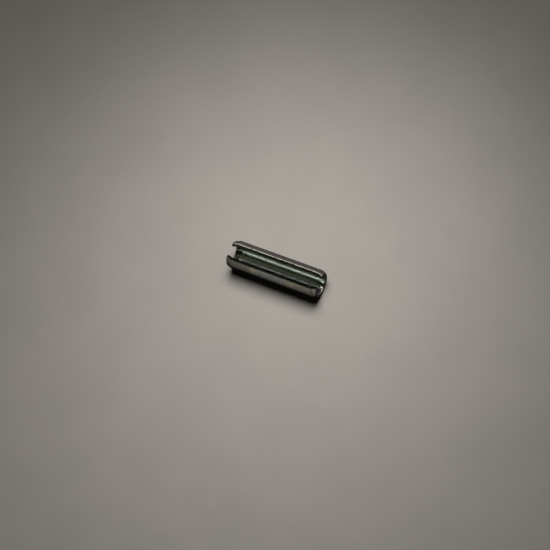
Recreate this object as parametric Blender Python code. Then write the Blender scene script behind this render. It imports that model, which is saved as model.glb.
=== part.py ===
"""A slotted spring pin, lying on its side with the slot up.

One strip of spring steel is rolled into an open tube. Both ends are drawn in to a short cone, so that the pin
starts easily in its hole, and the two lips of the slot come closer together there.
Frame: metres, +X along the pin, +Z up. The origin is on the surface that the pin lies on, under its middle.
"""

from math import asin, atan2, cos, pi, radians, sin, sqrt, tan

import bmesh
import bpy
from mathutils import Matrix, Vector

MM = 0.001

# Driving dimensions of a 5 x 18 pin in its free state, before it is driven into a hole
OUTER_DIAMETER = 5.4 * MM
LENGTH = 18.3 * MM
WALL = 0.88 * MM
SLOT_WIDTH = 3.15 * MM  # between the outer edges of the two lips, before they are rounded

# Drawn-in ends: the wall keeps its thickness and moves towards the axis
CONE_LENGTH = 0.9 * MM
CONE_DRAW_IN = 0.33 * MM
CONE_BLEND_RADIUS = 2 * MM  # where the cone runs into the straight tube
END_EDGE_RADIUS = 0.13 * MM  # around the end face, outside and in the bore

# The slit strip's edges aren't square: the shears rounded some more than others
FAR_OUTER_EDGE_RADIUS = 0.13 * MM  # the far lip is the one on the +Y side
FAR_INNER_EDGE_RADIUS = 0.2 * MM
NEAR_OUTER_EDGE_RADIUS = 0.03 * MM
NEAR_INNER_EDGE_RADIUS = 0.24 * MM
LIP_END_RADIUS = 0.1 * MM  # at the four corners, where a lip meets an end face
FAR_LIP_UNDERCUT = radians(-3.5)  # how much further a lip reaches into the slot on its bore side
NEAR_LIP_UNDERCUT = radians(4.7)

# The lips close in at the very ends of the pin
LIP_SWING_LENGTH = 1.7 * MM  # from the end of the pin to where a lip runs straight
FAR_LIP_SWING = radians(3)
NEAR_LIP_SWING = radians(7)

# Smoothness
ROLL_STEPS = 64  # facets round the tube, from lip to lip
ARC_STEPS = 4  # facets in each rounded corner of the wall's section
OUTER_EDGE_STEPS = 2  # facets in a lip's rounded edges
INNER_EDGE_STEPS = 3
SHARP_ANGLE = radians(50)

STEEL_COLOUR = (0.20, 0.21, 0.18, 1.0)
STEEL_ROUGHNESS = 0.25

# Worked out from the sizes above
OUTER_RADIUS = OUTER_DIAMETER / 2
BORE_RADIUS = OUTER_RADIUS - WALL
HALF_LENGTH = LENGTH / 2
HALF_SLOT = asin(SLOT_WIDTH / 2 / OUTER_RADIUS)  # half the slot, as an angle at the axis


def clear_scene():
    for obj in list(bpy.data.objects):
        bpy.data.objects.remove(obj)


def rounded_corner(before, corner, after, radius):
    """Points of the arc that rounds a corner of a line, from one tangent point to the other."""
    to_before = (before - corner).normalized()
    to_after = (after - corner).normalized()
    half_angle = to_before.angle(to_after) / 2
    centre = corner + (to_before + to_after).normalized() * radius / sin(half_angle)
    to_start = corner + to_before * radius / tan(half_angle) - centre
    to_end = corner + to_after * radius / tan(half_angle) - centre
    return [centre + to_start.slerp(to_end, step / ARC_STEPS) * radius for step in range(ARC_STEPS + 1)]


def wall_line(tube_radius):
    """One side of the wall as (x, radius) points, from the middle of one end face to that of the other."""
    cone_mouth = Vector((-HALF_LENGTH, tube_radius - CONE_DRAW_IN))
    cone_foot = Vector((-HALF_LENGTH + CONE_LENGTH, tube_radius))
    wall_middle = Vector((-HALF_LENGTH, OUTER_RADIUS - WALL / 2 - CONE_DRAW_IN))
    tube_middle = Vector((0, tube_radius))
    line = rounded_corner(wall_middle, cone_mouth, cone_foot, END_EDGE_RADIUS)
    line += rounded_corner(cone_mouth, cone_foot, tube_middle, CONE_BLEND_RADIUS)
    line.append(Vector((-HALF_LENGTH + LIP_SWING_LENGTH, tube_radius)))
    return line + [Vector((-x, radius)) for x, radius in reversed(line)]


def wall_shares():
    """Shares of the wall's thickness, from the outside in, where its section has a row of points.

    The rows lie close together near both surfaces, where the lips' edges are rounded.
    """
    outer_turns = [pi / 2 * step / OUTER_EDGE_STEPS for step in range(OUTER_EDGE_STEPS + 1)]
    inner_turns = [pi / 2 * step / INNER_EDGE_STEPS for step in range(INNER_EDGE_STEPS, -1, -1)]
    depths = [FAR_OUTER_EDGE_RADIUS * (1 - cos(turn)) for turn in outer_turns]
    depths += [WALL - NEAR_INNER_EDGE_RADIUS * (1 - cos(turn)) for turn in inner_turns]
    return [depth / WALL for depth in depths]


def wall_section(bm):
    """The wall cut along its length, under the axis, as a grid of faces between its outer and inner sides."""
    outer = [Vector((x, 0, -radius)) for x, radius in wall_line(OUTER_RADIUS)]
    inner = [Vector((x, 0, -radius)) for x, radius in wall_line(BORE_RADIUS)]
    rows = [[bm.verts.new(a.lerp(b, share)) for a, b in zip(outer, inner)] for share in wall_shares()]
    for row, next_row in zip(rows, rows[1:]):
        for i in range(len(row) - 1):
            bm.faces.new((row[i], row[i + 1], next_row[i + 1], next_row[i]))


def roll_tube(bm):
    """Spins the wall's section round the axis, under it, from one lip to the other."""
    wall_section(bm)
    to_first_lip = pi - HALF_SLOT
    turn = Matrix.Rotation(-to_first_lip, 3, "X")
    bmesh.ops.rotate(bm, verts=bm.verts[:], cent=(0, 0, 0), matrix=turn)
    bmesh.ops.spin(
        bm,
        geom=bm.verts[:] + bm.edges[:] + bm.faces[:],
        cent=(0, 0, 0),
        axis=(1, 0, 0),
        angle=2 * to_first_lip,
        steps=ROLL_STEPS,
        use_merge=False,
        use_duplicate=False,
    )
    bmesh.ops.recalc_face_normals(bm, faces=bm.faces[:])


def wall_depth(v):
    """How deep a point lies in the wall, from the outside."""
    into_cone = max(0, abs(v.co.x) - HALF_LENGTH + CONE_LENGTH) / CONE_LENGTH
    outside = OUTER_RADIUS - into_cone * CONE_DRAW_IN
    return min(max(outside - Vector((v.co.y, v.co.z)).length, 0), WALL)


def set_back(distance, radius):
    """How far a rounded edge stands back from its lip, at a distance from the side that it leads to."""
    if distance >= radius:
        return 0
    return radius - sqrt(radius**2 - (radius - distance) ** 2)


def shape_lips(bm):
    """Turns the wall round the axis, most at its lips, for their undercut, swing and rounded edges."""
    for v in bm.verts:
        round_tube = atan2(v.co.y, -v.co.z)  # 0 under the axis, growing towards +Y
        on_far_side = round_tube > 0
        undercut = FAR_LIP_UNDERCUT if on_far_side else NEAR_LIP_UNDERCUT
        swing = FAR_LIP_SWING if on_far_side else NEAR_LIP_SWING
        outer_edge = FAR_OUTER_EDGE_RADIUS if on_far_side else NEAR_OUTER_EDGE_RADIUS
        inner_edge = FAR_INNER_EDGE_RADIUS if on_far_side else NEAR_INNER_EDGE_RADIUS
        radius = Vector((v.co.y, v.co.z)).length
        depth = wall_depth(v)
        from_end = HALF_LENGTH - abs(v.co.x)
        into_swing = max(0, 1 - from_end / LIP_SWING_LENGTH)
        rounding = set_back(depth, outer_edge) + set_back(WALL - depth, inner_edge)
        rounding += set_back(max(0, from_end), LIP_END_RADIUS)
        lip_turn = undercut * depth / WALL + swing * into_swing**2 - rounding / radius
        round_tube *= 1 + lip_turn / (pi - HALF_SLOT)
        v.co.y = radius * sin(round_tube)
        v.co.z = -radius * cos(round_tube)


def spring_steel():
    material = bpy.data.materials.new("oiled_spring_steel")
    material.use_nodes = True
    shader = material.node_tree.nodes["Principled BSDF"]
    shader.inputs["Base Color"].default_value = STEEL_COLOUR
    shader.inputs["Metallic"].default_value = 1.0
    shader.inputs["Roughness"].default_value = STEEL_ROUGHNESS
    material.diffuse_color = STEEL_COLOUR
    return material


def spring_pin():
    mesh = bpy.data.meshes.new("spring_pin")
    bm = bmesh.new()
    roll_tube(bm)
    shape_lips(bm)
    bm.to_mesh(mesh)
    bm.free()
    mesh.shade_smooth()
    mesh.set_sharp_from_angle(angle=SHARP_ANGLE)
    mesh.materials.append(spring_steel())
    pin = bpy.data.objects.new("spring_pin", mesh)
    pin.location = (0, 0, OUTER_RADIUS)
    bpy.context.scene.collection.objects.link(pin)
    return pin


clear_scene()
spring_pin()
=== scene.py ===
from math import asin, atan2, cos, exp, pi, radians, sin, tan
from types import SimpleNamespace

import bmesh
import bpy
from mathutils import Matrix, Vector, noise


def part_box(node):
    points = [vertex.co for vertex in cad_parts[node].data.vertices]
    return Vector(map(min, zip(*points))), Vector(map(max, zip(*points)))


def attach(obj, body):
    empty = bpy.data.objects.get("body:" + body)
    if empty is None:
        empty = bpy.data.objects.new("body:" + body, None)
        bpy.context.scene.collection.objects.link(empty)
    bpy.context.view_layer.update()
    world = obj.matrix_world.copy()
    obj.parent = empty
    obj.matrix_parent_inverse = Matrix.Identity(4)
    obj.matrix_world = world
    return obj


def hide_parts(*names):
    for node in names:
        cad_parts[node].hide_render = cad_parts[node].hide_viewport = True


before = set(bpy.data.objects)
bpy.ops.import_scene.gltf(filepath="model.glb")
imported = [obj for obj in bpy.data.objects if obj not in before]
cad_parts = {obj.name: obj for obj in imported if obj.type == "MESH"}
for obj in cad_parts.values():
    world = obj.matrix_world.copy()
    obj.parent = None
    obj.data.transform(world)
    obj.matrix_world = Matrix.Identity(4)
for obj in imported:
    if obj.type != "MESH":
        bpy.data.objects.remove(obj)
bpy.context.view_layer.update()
mm = 0.001

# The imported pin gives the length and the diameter
pinLow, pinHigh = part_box("spring_pin")
pinRadius = (pinHigh.y - pinLow.y) / 2
pinAxis = Vector((0, 0, pinRadius))
halfLength = (pinHigh.x - pinLow.x) / 2

# What to change about the pin's shape. Sizes in metres, turns in degrees
pinShape = {
    "wall": 0.88 * mm,
    "slotWidth": 3.15 * mm,  # between the outer edges of the lips, before they are rounded
    "coneLength": 0.9 * mm,
    "coneDrawIn": 0.33 * mm,
    "coneBlend": 0.36 * mm,  # to each side of the cone's foot
    "endRounding": 0.13 * mm,  # round both rims of an end face
    "farOuterRounding": 0.13 * mm,  # the lips' long edges
    "farInnerRounding": 0.2 * mm,
    "nearOuterRounding": 0.03 * mm,
    "nearInnerRounding": 0.24 * mm,
    "lipEndRounding": 0.1 * mm,
    "farUndercut": -3.5,  # how much further each lip reaches into the slot on its bore side
    "nearUndercut": 4.7,
    "swingLength": 1.7 * mm,  # the lips close in at both ends, over this length
    "farSwing": 3,
    "nearSwing": 7,
    "lipWobble": 0.013 * mm,  # the shears' edge isn't quite straight
    "lipWaves": (1.6, 2.5),  # per mm along the pin and into the wall
    "farSeed": 3,
    "nearSeed": 8,
    "rimWobble": 0.008 * mm,
    "rimWobbleReach": 0.3 * mm,  # from the end
    "rimWaves": (9, 3),  # per radian round the tube and per mm into the wall
    "rimSeed": 5,
    "rimReach": 0.7 * mm,  # how far from the end the facets make room for the rounded rim
    "skin": 0.003 * mm,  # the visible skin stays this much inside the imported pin
    "cutsAlong": 196,
    "cutsThroughWall": 24,
    "crowding": 0.3,  # how much closer the cuts along the pin lie at its ends
    "stepsRound": 132,  # facets from lip to lip
}


def setBack(distance, rounding):
    # How far a rounded edge stands back, at a distance from the side that it leads to
    if distance >= rounding:
        return 0
    return rounding - (rounding ** 2 - (rounding - max(distance, 0)) ** 2) ** 0.5


def coneDrop(along):
    # How far the tube is drawn in: straight, a soft bend at the foot, then a straight cone
    slope = pinShape["coneDrawIn"] / pinShape["coneLength"]
    blend = pinShape["coneBlend"]
    into = abs(along) - halfLength + pinShape["coneLength"]
    if into <= -blend:
        return 0
    if into >= blend:
        return slope * into
    return slope * (into + blend) ** 2 / (4 * blend)


def wobble(size, x, y, seed):
    return size * noise.fractal(Vector((x, y, seed)), 0.8, 2, 3)  # falloff, step in scale, layers


def wallSection(bm, places):
    # The wall cut lengthways under the axis: a sheet, closer meshed at its ends and both surfaces
    bmesh.ops.create_grid(
        bm, x_segments=pinShape["cutsAlong"], y_segments=pinShape["cutsThroughWall"], size=1,
    )
    wall = pinShape["wall"]
    crowding = pinShape["crowding"]
    outside = pinRadius - pinShape["skin"]
    for v in bm.verts:
        share = v.co.x * (1 + crowding - crowding * v.co.x ** 2)
        along = share * (halfLength - pinShape["skin"])
        depth = wall * (1 + sin(pi / 2 * v.co.y)) / 2
        v[places] = (along / mm, 0, depth / mm)
        rim = setBack(depth, pinShape["endRounding"]) + setBack(wall - depth, pinShape["endRounding"])
        nearEnd = max(0, 1 - (halfLength - abs(along)) / pinShape["rimReach"])
        x = along - rim * nearEnd * (1 if along > 0 else -1)
        v.co = (x, 0, -(outside - coneDrop(x) - depth))


def shapeLips(bm, places, edges, halfSlot):
    # Turns the wall round the axis, most at the lips, for their undercut, swing and rounded edges
    wall = pinShape["wall"]
    lipWaves = pinShape["lipWaves"]
    rimWaves = pinShape["rimWaves"]
    for v in bm.verts:
        turn = atan2(v.co.y, -v.co.z)
        side = "far" if turn > 0 else "near"
        r = (v.co.y ** 2 + v.co.z ** 2) ** 0.5
        along, _, depth = v[places]
        fromEnd = halfLength - abs(v.co.x)
        fromLip = (pi - halfSlot - abs(turn)) * pinRadius
        v[places].y = turn * pinRadius / mm
        v[edges] = (fromLip / mm, halfLength / mm - abs(along), 0)

        lipTurn = radians(pinShape[side + "Undercut"]) * depth * mm / wall
        intoSwing = max(0, 1 - fromEnd / pinShape["swingLength"])
        lipTurn += radians(pinShape[side + "Swing"]) * intoSwing ** 2
        rounding = setBack(depth * mm, pinShape[side + "OuterRounding"])
        rounding += setBack(wall - depth * mm, pinShape[side + "InnerRounding"])
        rounding += setBack(fromEnd, pinShape["lipEndRounding"])
        seed = pinShape[side + "Seed"]
        rounding += wobble(pinShape["lipWobble"], along * lipWaves[0], depth * lipWaves[1], seed)
        turn *= 1 + (lipTurn - rounding / r) / (pi - halfSlot)

        atRim = max(0, 1 - fromEnd / pinShape["rimWobbleReach"])
        dent = wobble(pinShape["rimWobble"], turn * rimWaves[0], depth * rimWaves[1], pinShape["rimSeed"])
        v.co.x -= v.co.x / halfLength * atRim * abs(dent)
        v.co.y = r * sin(turn)
        v.co.z = -r * cos(turn)


def buildPin():
    bm = bmesh.new()
    places = bm.verts.layers.float_vector.new("wallPlace")  # along, round the tube and into the wall, in mm
    edges = bm.verts.layers.float_vector.new("fromEdges")  # from the lip and from the end, in mm
    halfSlot = asin(pinShape["slotWidth"] / 2 / pinRadius)
    wallSection(bm, places)
    start = Matrix.Rotation(-(pi - halfSlot), 3, "X")
    bmesh.ops.rotate(bm, verts=bm.verts[:], cent=(0, 0, 0), matrix=start)
    bmesh.ops.spin(
        bm, geom=bm.verts[:] + bm.edges[:] + bm.faces[:], cent=(0, 0, 0), axis=(1, 0, 0),
        angle=2 * (pi - halfSlot), steps=pinShape["stepsRound"], use_merge=False, use_duplicate=False,
    )
    bmesh.ops.recalc_face_normals(bm, faces=bm.faces[:])
    shapeLips(bm, places, edges, halfSlot)
    bmesh.ops.translate(bm, verts=bm.verts[:], vec=pinAxis)
    return bm


def pinPiece():
    mesh = bpy.data.meshes.new("rolledPin")
    bm = buildPin()
    bm.to_mesh(mesh)
    bm.free()
    mesh.shade_smooth()
    piece = bpy.data.objects.new("rolledPin", mesh)
    bpy.context.scene.collection.objects.link(piece)
    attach(piece, "root")
    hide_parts("spring_pin")
    print("pin:", len(mesh.vertices), "vertices,", len(mesh.polygons), "faces")
    return piece


# The camera. In the photo the slot leans towards it. Here the slot faces straight up, and the camera goes
# round the pin by as much
view = {
    "elevation": 46,
    "pinYaw": -26.93,
    "slotTurn": 32.1,
    "distance": 291.8 * mm,
    "lens": 104.73,
    "sensor": 36,
    "focalPixels": 1600,
    "pinCentrePixels": (1.40, 5.8),  # right of and above the middle of the picture
    "seenFrom": 5 * mm,
    "seenTo": 20,
}


def addCamera():
    data = bpy.data.cameras.new("photoCamera")
    data.lens = view["lens"]
    data.sensor_width = view["sensor"]
    data.clip_start = view["seenFrom"]
    data.clip_end = view["seenTo"]
    camera = bpy.data.objects.new("photoCamera", data)
    bpy.context.scene.collection.objects.link(camera)
    tip = Matrix.Rotation(radians(90 - view["elevation"]), 4, "X")
    right, up = (value / view["focalPixels"] for value in view["pinCentrePixels"])
    seat = tip @ Matrix.Translation(view["distance"] * Vector((-right, -up, 1)))
    seat = Matrix.Translation(seat.translation) @ tip
    unyaw = Matrix.Rotation(radians(-view["pinYaw"]), 4, "Z")
    unturn = Matrix.Rotation(radians(-view["slotTurn"]), 4, "X")
    camera.matrix_world = Matrix.Translation(pinAxis) @ unturn @ unyaw @ seat
    bpy.context.scene.camera = camera
    return camera


class Wire:
    # An output of a node. Sums and products of wires add the Math nodes
    def __init__(self, tree, socket=None):
        self.tree = tree
        self.socket = socket

    def node(self, kind, settings=None, sockets=None, output=0):
        made = self.tree.nodes.new(kind)
        for name, value in (settings or {}).items():
            setattr(made, name, value)
        for name, value in (sockets or {}).items():
            if isinstance(value, Wire):
                value.feed(made, name)
            else:
                made.inputs[name].default_value = value
        return Wire(self.tree, made.outputs[output])

    def feed(self, fed, name):
        self.tree.links.new(self.socket, fed.inputs[name])

    def math(self, operation, first, second=0.0):
        return self.node("ShaderNodeMath", {"operation": operation}, {0: first, 1: second})

    def __add__(self, other):
        return self.math("ADD", self, other)

    def __radd__(self, other):
        return self.math("ADD", other, self)

    def __sub__(self, other):
        return self.math("SUBTRACT", self, other)

    def __rsub__(self, other):
        return self.math("SUBTRACT", other, self)

    def __mul__(self, other):
        return self.math("MULTIPLY", self, other)

    def __rmul__(self, other):
        return self.math("MULTIPLY", other, self)

    def __abs__(self):
        return self.math("ABSOLUTE", self)

    def squared(self):
        return self.math("POWER", self, 2)

    def root(self):
        return self.math("SQRT", self)

    def larger(self, other):
        return self.math("MAXIMUM", self, other)

    def rise(self, low, high):
        # 0 below low and 1 above high, with a soft step between them
        sockets = {"Value": self, "From Min": low, "From Max": high}
        return self.node("ShaderNodeMapRange", {"interpolation_type": "SMOOTHSTEP"}, sockets)

    def fall(self, low, high):
        return 1 - self.rise(low, high)

    def uneven(self, pattern, size):
        # The same number, moved up or down by a pattern
        return self + (pattern - 0.5) * size

    def scaled(self, scale, shift):
        return self.node("ShaderNodeMapping", {}, {"Vector": self, "Scale": scale, "Location": shift})

    def noise(self, scale, detail, roughness):
        sockets = {"Vector": self, "Scale": scale, "Detail": detail, "Roughness": roughness}
        return self.node("ShaderNodeTexNoise", {}, sockets)

    def part(self, index):
        return self.node("ShaderNodeSeparateXYZ", {}, {"Vector": self}, output=index)

    def solid(self, colour):
        made = self.node("ShaderNodeRGB")
        made.socket.default_value = colour
        return made

    def bump(self, height, distance, normal=None):
        sockets = {"Height": height, "Distance": distance, "Strength": 1.0}
        if normal:
            sockets["Normal"] = normal
        return self.node("ShaderNodeBump", {}, sockets)

    def tint(self, mask, colour):
        # This colour where mask is 0, and the other where it is 1
        return self.node("ShaderNodeMix", {"data_type": "RGBA"}, {0: mask, 6: self, 7: colour}, output=2)


# The floor under the pin
floorLook = {
    "size": 3,
    "colour": (0.314, 0.288, 0.258, 1),
    "cloudColour": (0.330, 0.301, 0.270, 1),
    "cloudScale": 70,  # per metre
    "grainScale": 900,
    "grainDepth": 0.02 * mm,
    "roughness": 0.75,
}


def addFloor():
    mesh = bpy.data.meshes.new("floor")
    bm = bmesh.new()
    bmesh.ops.create_grid(bm, x_segments=1, y_segments=1, size=floorLook["size"] / 2)
    bm.to_mesh(mesh)
    bm.free()
    floor = bpy.data.objects.new("floor", mesh)
    material = bpy.data.materials.new("paleFloor")
    material.use_nodes = True
    shader = material.node_tree.nodes["Principled BSDF"]
    start = Wire(material.node_tree)
    place = start.node("ShaderNodeTexCoord", output=3)
    clouds = place.noise(floorLook["cloudScale"], 4, 0.6).rise(0.35, 0.65)
    start.solid(floorLook["colour"]).tint(clouds, floorLook["cloudColour"]).feed(shader, "Base Color")
    grain = place.noise(floorLook["grainScale"], 3, 0.6)
    start.bump(grain, floorLook["grainDepth"]).feed(shader, "Normal")
    shader.inputs["Roughness"].default_value = floorLook["roughness"]
    mesh.materials.append(material)
    bpy.context.scene.collection.objects.link(floor)
    return floor


# The steel's colours, shine and marks. Places on the wall are in mm
steelLook = {
    "outside": (0.150, 0.140, 0.128, 1),
    "outsideMauve": (0.150, 0.122, 0.108, 1),
    "outsideGreen": (0.130, 0.145, 0.118, 1),
    "outsidePale": (0.255, 0.250, 0.230, 1),
    "brown": (0.125, 0.092, 0.062, 1),
    "leftPaintedShade": (0.058, 0.053, 0.043, 1),
    "gold": (0.34, 0.24, 0.11, 1),
    "bore": (0.485, 0.525, 0.480, 1),
    "boreGreen": (0.44, 0.56, 0.30, 1),
    "boreOlive": (0.13, 0.15, 0.075, 1),
    "boreShadeAndSpeckle": (0.035, 0.045, 0.018, 1),
    "boreShadeOlive": (0.085, 0.100, 0.030, 1),
    "mouthDarkOlive": (0.012, 0.014, 0.002, 1),
    "dark": (0.045, 0.050, 0.032, 1),
    "cutNear": (0.006, 0.006, 0.003, 1),
    "cutGreen": (0.230, 0.255, 0.180, 1),
    "cutBrown": (0.085, 0.055, 0.035, 1),
    "endFace": (0.120, 0.092, 0.066, 1),
    "worn": (0.66, 0.65, 0.61, 1),
    "bare": (0.66, 0.64, 0.58, 1),
    "grimeAndShade": (0.012, 0.012, 0.008, 1),
    "outsideRoughness": 0.17,
    "boreRoughness": 0.215,
    "farCutRoughness": 0.46,
    "nearCutRoughness": 0.3,
    "darkSpotRoughness": 0.5,
    "bareRoughness": 0.42,
    "endFaceRougher": 0.2,  # than the outside
    "mottleRougher": 0.12,  # from the mottle's smoothest place to its roughest
    "speckleRougher": 0.08,
    "lineDepth": 0.003 * mm,  # of the marks that the strip's rolling left along the pin
    "moundDepth": 0.006 * mm,
    "shearDepth": 0.008 * mm,  # of the marks across the cut faces
    "spotSquash": 0.75,  # under 1 makes the spots longer along the pin
    "spotRaggedness": 3.6,
    "spotSoftness": 0.4,
    # Spots: (along the pin, round it from underneath, radius)
    # Painted shadows: black spots in the bore, four at its left end and one at its right end
    "boreGrimeSpots": (
        (-8.92, 1.65, 0.38), (-8.92, 1.15, 0.38), (-8.20, 1.7, 0.34), (-8.20, 1.25, 0.36),
        (8.62, -1.75, 0.36),
    ),
    "boreBareSpots": ((8.86, -0.44, 0.30),),
    "goldSpots": ((-3.63, -6.2, 0.42), (-2.95, -6.0, 0.30), (4.30, -6.10, 0.34), (3.4, -6.05, 0.22)),
    "bareSpots": (
        (-3.76, 5.85, 0.14), (6.1, -5.2, 0.10), (-6.4, 3.9, 0.12), (1.9, 2.3, 0.14), (-2.2, -2.7, 0.11),
    ),
    "grimeSpots": (
        (-3.76, 5.55, 0.14), (-3.35, 6.55, 0.12), (5.2, 5.1, 0.10), (-7.0, -4.6, 0.12), (7.2, -1.2, 0.14),
        (-5.3, 0.9, 0.12),
    ),
    # Noise: its scale along the pin, round it and into the wall, then its shift, detail and roughness
    "patterns": {
        "rolled": ((0.35, 9, 2), (0, 0, 0), 4, 0.6),  # lines along the pin
        "fineRolled": ((1.2, 34, 5), (0, 0, 0), 3, 0.6),
        "mottle": ((1.5, 2.6, 3), (0, 0, 0), 4, 0.62),
        "blotches": ((1.3, 3.4, 3), (6, 2, 5), 4, 0.7),
        "speckle": ((2.9, 3.4, 5), (0, 0, 0), 3, 0.65),
        "burrs": ((2.1, 4, 4), (2, 8, 1), 3, 0.7),
        "clouds": ((0.33, 0.6, 1), (4, 7, 2), 3, 0.5),
        "shear": ((11, 1, 1.6), (3, 1, 0), 3, 0.65),  # lines through the wall
        "patches": ((1.7, 1, 2.2), (9, 5, 3), 4, 0.6),
        "flecks": ((2.4, 1.2, 3), (1, 4, 6), 3, 0.65),
    },
}


def spots(wall, name, pattern):
    # 1 inside any of the named spots, with uneven rims
    found = None
    for along, around, radius in steelLook[name]:
        lengthways = (wall.along - along) * steelLook["spotSquash"]
        away = (lengthways.squared() + (wall.around - around).squared()).root()
        away = away + (pattern - 0.5) * radius * steelLook["spotRaggedness"]
        spot = away.fall(radius * (1 - steelLook["spotSoftness"]), radius * (1 + steelLook["spotSoftness"]))
        found = found.larger(spot) if found else spot
    return found


def layered(colour, layers):
    # Tints a colour with others, one after the other, each where its mask is 1
    for mask, name in layers:
        colour = colour.tint(mask, steelLook[name])
    return colour


def readWall(start):
    # What the colours are made from: the place on the wall, the patterns, and masks of its surfaces
    place = start.node("ShaderNodeAttribute", {"attribute_name": "wallPlace"}, output=1)
    fromEdges = start.node("ShaderNodeAttribute", {"attribute_name": "fromEdges"}, output=1)
    wall = SimpleNamespace(start=start, thick=pinShape["wall"] / mm)
    for name, (scale, shift, detail, roughness) in steelLook["patterns"].items():
        setattr(wall, name, place.scaled(scale, shift).noise(1, detail, roughness))
    wall.along = place.part(0)
    wall.around = place.part(1)
    wall.depth = place.part(2)
    wall.fromLip = fromEdges.part(0)
    wall.fromEnd = fromEdges.part(1)
    wall.farSide = wall.around.rise(-0.1, 0.1)
    wall.nearSide = 1 - wall.farSide

    wall.outside = wall.depth.fall(0.0, 0.02)
    wall.bore = wall.depth.rise(wall.thick - 0.025, wall.thick - 0.004)
    wall.inWall = wall.depth.rise(0.004, 0.03) * (1 - wall.bore)
    wall.cut = wall.inWall * wall.fromLip.fall(0.01, 0.06)
    wall.endFace = wall.inWall * (1 - wall.cut)
    wall.cone = wall.fromEnd.uneven(wall.mottle, 0.7).fall(0.6, 1.15)
    wall.coneFoot = wall.fromEnd.rise(0.72, 0.86) * wall.fromEnd.fall(0.92, 1.1) * wall.mottle.rise(0.34, 0.6)
    wall.boreGrime = spots(wall, "boreGrimeSpots", wall.speckle)
    wall.boreBare = spots(wall, "boreBareSpots", wall.speckle)
    return wall


def outsideColour(wall):
    # Grey-green, with lines, clouds, worn speckles, a few stains, painted mauve reflection on the far side
    # and painted shade at the left
    warm = wall.nearSide * abs(wall.along).rise(2, 5.5)
    # Painted shade: the near side darkens towards its left end
    leftShade = wall.nearSide * wall.along.uneven(wall.mottle, 2).fall(-7, -2.5)
    leftCone = wall.cone * wall.along.fall(-1, 1)
    return layered(wall.start.solid(steelLook["outside"]), (
        # Painted reflection: the far side is tinted mauve, like the floor it faces
        (wall.farSide * wall.clouds.rise(0.3, 0.5), "outsideMauve"),
        (wall.clouds.rise(0.38, 0.62) * (1 - wall.farSide * 0.75), "outsideGreen"),
        (wall.rolled.rise(0.5, 0.74) * 0.75, "outsidePale"),
        (wall.rolled.fall(0.26, 0.46) * 0.6, "dark"),
        (wall.blotches.fall(0.36, 0.5) * 0.5, "dark"),
        (wall.blotches.rise(0.56, 0.68) * 0.55, "outsidePale"),
        (wall.speckle.fall(0.32, 0.42) * 0.5, "dark"),
        (wall.speckle.rise(0.58, 0.68) * 0.6, "outsidePale"),
        (wall.flecks.fall(0.38, 0.5) * 0.25, "dark"),
        (wall.flecks.rise(0.53, 0.66) * 0.3, "outsidePale"),
        (warm * (0.15 + 0.4 * wall.blotches), "brown"),
        (leftShade * 0.45, "leftPaintedShade"),
        (leftCone * (0.5 + 0.45 * wall.mottle), "brown"),
        (wall.coneFoot * 0.75, "grimeAndShade"),
        (wall.cone * wall.rolled.rise(0.52, 0.7) * 0.4, "outsidePale"),
        (spots(wall, "goldSpots", wall.blotches) * wall.burrs.rise(0.3, 0.62) * 0.6, "gold"),
        (spots(wall, "grimeSpots", wall.burrs) * 0.9, "grimeAndShade"),
        (spots(wall, "bareSpots", wall.burrs) * 0.35, "bare"),
    ))


def boreColour(wall):
    # Pale grey-green, darker olive at the ends and along both lips, as painted shade at the lips and the left
    # end
    # Painted shade along both lips and at the left end of the bore
    shadeAtLip = wall.fromLip.uneven(wall.mottle, 0.5).fall(0.1, 0.55)
    shadeAtLeft = wall.along.uneven(wall.mottle, 1.0).fall(-8.6, -7.8)
    # Darker olive towards the right end of the bore
    darkAtRight = wall.along.uneven(wall.mottle, 1.2).rise(8.3, 9.4) * 0.3
    boreDarkening = shadeAtLip.larger(shadeAtLeft.larger(darkAtRight))
    around = wall.around.uneven(wall.clouds, 0.5)
    green = around.rise(-0.15, 0.35) * around.fall(1.1, 1.35)  # below the photo's highlight
    toRight = wall.along.rise(6.3, 8.8)
    olive = (around + toRight).rise(0.7, 0.95) * around.fall(1.2, 1.4)  # a line that widens to the right
    rough = around.fall(0.3, 0.8)  # from the near lip to the lowest part
    return layered(wall.start.solid(steelLook["bore"]), (
        (wall.rolled.fall(0.3, 0.5) * 0.2, "boreOlive"),
        (wall.mottle.rise(0.5, 0.7) * 0.2, "boreOlive"),
        (boreDarkening * 0.75, "boreOlive"),
        # Painted shade in the bore under the far lip
        (around.rise(2.45, 2.7) * 0.8, "boreShadeAndSpeckle"),
        (green * 0.75, "boreGreen"),
        (olive * (0.4 + 0.5 * toRight), "boreShadeOlive"),
        # Darker still in the right mouth of the bore
        (olive * wall.along.rise(7.6, 8.6) * 0.85, "mouthDarkOlive"),
        # More painted shade at the left end
        (shadeAtLeft * 0.6, "boreShadeAndSpeckle"),
        (wall.speckle.fall(0.42, 0.5) * rough * 0.75, "boreShadeAndSpeckle"),
        (wall.blotches.fall(0.4, 0.52) * rough * 0.5, "boreShadeAndSpeckle"),
        (wall.burrs.rise(0.52, 0.6) * rough * 0.85, "bare"),
        (wall.boreGrime * 0.95, "grimeAndShade"),
        (wall.boreBare, "bare"),
    ))


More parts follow.
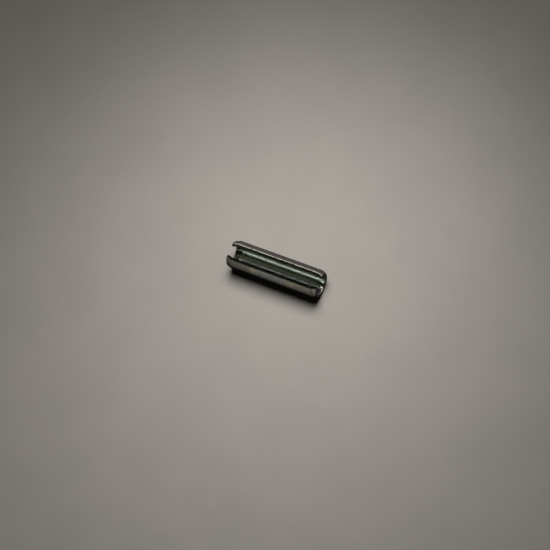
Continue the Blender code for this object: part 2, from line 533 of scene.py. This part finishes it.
def endFaceColour(wall):
    # Brown, with worn speckles. The right one has a bright inner rim and a dark patch on its near half
    atRight = wall.along.rise(0, 1) * wall.nearSide
    patch = wall.fromLip.rise(0.08, 0.2) * wall.fromLip.fall(1.1, 1.5)
    patch = patch * wall.depth.uneven(wall.speckle, 0.2).fall(0.46, 0.58)
    return layered(wall.start.solid(steelLook["endFace"]), (
        (wall.mottle.fall(0.36, 0.52) * 0.8, "grimeAndShade"),
        (wall.speckle.rise(0.58, 0.7) * 0.5, "outsidePale"),
        (atRight * wall.depth.rise(wall.thick - 0.32, wall.thick - 0.2) * 0.8, "worn"),
        (atRight * patch * 0.95, "grimeAndShade"),
    ))


def cutColour(wall):
    # Nearly black, the near face as painted shade, with green metal at the left and brown patches at the
    # right on the far lip
    atLeft = (wall.along + wall.patches * 6).fall(-6, 1)
    atRight = wall.along.rise(0, 5) * wall.farSide
    return layered(wall.start.solid(steelLook["cutNear"]), (
        (wall.farSide, "dark"),
        (wall.shear.rise(0.5, 0.72) * (0.03 + 0.57 * wall.farSide), "cutGreen"),
        (atLeft * wall.patches.rise(0.35, 0.6) * (0.03 + 0.77 * wall.farSide), "cutGreen"),
        (atRight * wall.patches.rise(0.42, 0.6), "cutBrown"),
    ))


def withEdges(wall, colour):
    # The far lip's outer edge is worn bright, but for its dark left tip. The near lip has a black outer edge
    # of painted shade, and a worn edge in the bore
    leftTip = wall.farSide * wall.inWall * wall.along.uneven(wall.mottle, 0.4).fall(-8.7, -8.35)
    leftTip = leftTip * wall.fromLip.fall(0.3, 0.6)
    wornEdge = wall.depth.rise(0.0, 0.02) * wall.depth.fall(0.05, 0.15) * wall.fromLip.fall(0.03, 0.1)
    wornEdge = wornEdge * wall.farSide * wall.burrs.rise(0.42, 0.54) * (1 - leftTip)
    boreEdge = wall.depth.rise(wall.thick - 0.3, wall.thick - 0.2)
    boreEdge = boreEdge * wall.depth.fall(wall.thick - 0.15, wall.thick - 0.08)
    boreEdge = boreEdge * wall.nearSide * wall.fromLip.fall(0.25, 0.45)
    clusters = 0.35 + 0.65 * wall.patches.rise(0.42, 0.56)
    # Painted shade: the near lip's outer edge is blackened
    blackEdge = wall.nearSide * wall.outside * wall.fromLip.uneven(wall.patches, 0.25).fall(0.02, 0.09)
    return layered(colour, (
        (leftTip * 0.85, "grimeAndShade"),
        (wornEdge * 0.95, "worn"),
        (boreEdge * wall.burrs.rise(0.46, 0.58) * clusters * 0.9, "worn"),
        (blackEdge * 0.9, "grimeAndShade"),
    ))


def steelRoughness(wall):
    outside = steelLook["outsideRoughness"]
    bore = steelLook["boreRoughness"]
    nearCut = steelLook["nearCutRoughness"]
    cut = nearCut + wall.farSide * (steelLook["farCutRoughness"] - nearCut)
    roughness = outside + wall.bore * (bore - outside)
    roughness = roughness + wall.cut * (cut - outside) + wall.endFace * steelLook["endFaceRougher"]
    roughness = roughness.uneven(wall.mottle, steelLook["mottleRougher"])
    roughness = roughness.uneven(wall.speckle, steelLook["speckleRougher"])
    grimeAndShade = wall.boreGrime * wall.bore + wall.coneFoot * wall.outside * 0.5
    roughness = roughness + grimeAndShade * (steelLook["darkSpotRoughness"] - bore)
    return roughness + wall.boreBare * wall.bore * (steelLook["bareRoughness"] - bore)


def steelBump(wall):
    lines = (wall.rolled * 0.6 + wall.fineRolled * 0.4) * (1 - wall.inWall)
    bump = wall.start.bump(lines, steelLook["lineDepth"])
    bump = wall.start.bump(wall.mottle, steelLook["moundDepth"], bump)
    return wall.start.bump(wall.shear * wall.inWall, steelLook["shearDepth"], bump)


def steel():
    material = bpy.data.materials.new("oiledSpringSteel")
    material.use_nodes = True
    shader = material.node_tree.nodes["Principled BSDF"]
    wall = readWall(Wire(material.node_tree))
    colour = outsideColour(wall).tint(wall.bore, boreColour(wall))
    colour = colour.tint(wall.endFace, endFaceColour(wall)).tint(wall.cut, cutColour(wall))
    withEdges(wall, colour).feed(shader, "Base Color")
    steelRoughness(wall).feed(shader, "Roughness")
    steelBump(wall).feed(shader, "Normal")
    shader.inputs["Metallic"].default_value = 1.0
    return material


# Lights. Angles in degrees in the plane across the pin, from the near horizon over the top to the far one
studio = {
    "rimBrightness": 0.9,  # of the bank on the far side, at its edges
    "coreBrightness": 3.6,
    "coreAngle": 143,
    "coreSpread": 20,
    "bankFrom": 111,
    "bankTo": 181,
    "bankStrips": 10,
    "bankDistance": 220 * mm,
    "bankLength": 520 * mm,
    "nearFrom": -50,  # light as a floor throws it back: dark under the pin, brighter further out
    "nearTo": 32,
    "nearLevels": (0.06, 0.28, 0.50, 0.64, 0.78, 0.95),
    "farFrom": 181,
    "farTo": 229,
    "farLevels": (0.42, 0.33, 0.25),
    "floorStripLength": 1000 * mm,
    "endCards": (  # the direction of each from the pin, its size and brightness
        ((0.8, 0, 0.6), 160 * mm, 0.25),
        ((-0.8, 0, 0.6), 160 * mm, 0.25),
        ((0.5, 0.33, -0.8), 100 * mm, 0.22),
        ((-0.5, 0.33, -0.8), 100 * mm, 0.22),
        ((-0.84, 0.24, 0.48), 60 * mm, 6.0),  # a glint in the mouth of the bore
    ),
    "overheadLevels": (0.085,),
    "floorLampAngle": 122,
    "floorLampDistance": 95 * mm,  # close, so that the floor darkens towards the picture's corners
    "floorLampSize": 57 * mm,
    "floorLampShift": -14 * mm,  # towards the near side
    "floorLampSpread": 90,
    "floorLampBrightness": 2.6,
    "sunSoftness": 30,
    "sunStrength": 1.07,
    "worldColour": (1, 0.96, 0.92, 1),
    "worldSeen": 0.25,
    "worldLight": 0.003,
}


def addLamp(name, angle, distance, width, length, brightness, lit, shadedBy=None):
    # A rectangle lamp that faces the pin and lights only what is in lit
    data = bpy.data.lights.new(name, "AREA")
    data.shape = "RECTANGLE"
    data.size = length
    data.size_y = width
    data.energy = brightness * width * length * pi
    lamp = bpy.data.objects.new(name, data)
    turn = radians(angle)
    lamp.location = pinAxis + distance * Vector((0, -cos(turn), sin(turn)))
    lamp.rotation_euler = (pi / 2 - turn, 0, 0)
    lamp.visible_camera = False
    lamp.light_linking.receiver_collection = lit
    lamp.light_linking.blocker_collection = shadedBy or lit
    bpy.context.scene.collection.objects.link(lamp)
    return lamp


def onlyFor(name, piece):
    lit = bpy.data.collections.new(name)
    lit.objects.link(piece)
    return lit


def addStrips(name, low, high, length, levels, lit):
    # Lamps side by side round the pin, each of its own brightness
    step = (high - low) / len(levels)
    width = 2 * studio["bankDistance"] * tan(radians(step / 2))
    for i, level in enumerate(levels):
        angle = low + (i + 0.5) * step
        addLamp(name + str(i), angle, studio["bankDistance"], width, length, level, lit)


def bankLevels():
    # Bright at the core's angle, and dimmer towards both edges of the bank
    step = (studio["bankTo"] - studio["bankFrom"]) / studio["bankStrips"]
    levels = []
    for i in range(studio["bankStrips"]):
        fromCore = studio["bankFrom"] + (i + 0.5) * step - studio["coreAngle"]
        core = exp(-(fromCore / studio["coreSpread"]) ** 2)
        levels.append(studio["rimBrightness"] + studio["coreBrightness"] * core)
    return levels


def lightPin(lit):
    bankFrom, bankTo, nearTo = studio["bankFrom"], studio["bankTo"], studio["nearTo"]
    bankLength, floorLength = studio["bankLength"], studio["floorStripLength"]
    addStrips("bank", bankFrom, bankTo, bankLength, bankLevels(), lit)
    addStrips("near", studio["nearFrom"], nearTo, floorLength, studio["nearLevels"], lit)
    addStrips("far", studio["farFrom"], studio["farTo"], floorLength, studio["farLevels"], lit)
    addStrips("overhead", nearTo, bankFrom, bankLength, studio["overheadLevels"], lit)
    # Each card starts straight above the pin and is then moved and turned
    for i, (direction, size, brightness) in enumerate(studio["endCards"]):
        card = addLamp("endCard" + str(i), 90, studio["bankDistance"], size, size, brightness, lit)
        direction = Vector(direction).normalized()
        card.location = pinAxis + studio["bankDistance"] * direction
        card.rotation_euler = direction.to_track_quat("Z", "Y").to_euler()


def lightFloor(lit, shadedBy):
    size = studio["floorLampSize"]
    lamp = addLamp(
        "floorLamp", studio["floorLampAngle"], studio["floorLampDistance"], size, size,
        studio["floorLampBrightness"], lit, shadedBy,
    )
    lamp.data.spread = radians(studio["floorLampSpread"])
    lamp.location.y += studio["floorLampShift"]
    sun = bpy.data.objects.new("floorSun", bpy.data.lights.new("floorSun", "SUN"))
    sun.data.energy = studio["sunStrength"]
    sun.data.angle = radians(studio["sunSoftness"])
    sun.rotation_euler = (pi / 2 - radians(studio["floorLampAngle"]), 0, 0)
    sun.light_linking.receiver_collection = lit
    bpy.context.scene.collection.objects.link(sun)


def addWorld():
    # A pale backdrop that hardly lights anything
    world = bpy.data.worlds.new("studio")
    world.use_nodes = True
    background = world.node_tree.nodes["Background"]
    seen = Wire(world.node_tree).node("ShaderNodeLightPath")
    strength = studio["worldLight"] + seen * (studio["worldSeen"] - studio["worldLight"])
    strength.feed(background, "Strength")
    background.inputs["Color"].default_value = studio["worldColour"]
    bpy.context.scene.world = world


def addLights(pin, floor):
    forPin = onlyFor("litPin", pin)
    lightPin(forPin)
    lightFloor(onlyFor("litFloor", floor), forPin)
    floor.visible_glossy = False  # the near and far strips stand for its light on the pin
    pin.visible_diffuse = False  # and those strips don't reach the floor by way of the pin
    addWorld()


pin = pinPiece()
pin.data.materials.append(steel())
print("steel:", len(pin.data.materials[0].node_tree.nodes), "nodes")
camera = addCamera()
print("camera:", round((camera.location - pinAxis).length / mm), "mm from the pin")
floor = addFloor()
print("floor:", floorLook["size"], "m wide")
addLights(pin, floor)
bpy.context.scene.view_settings.view_transform = "Standard"
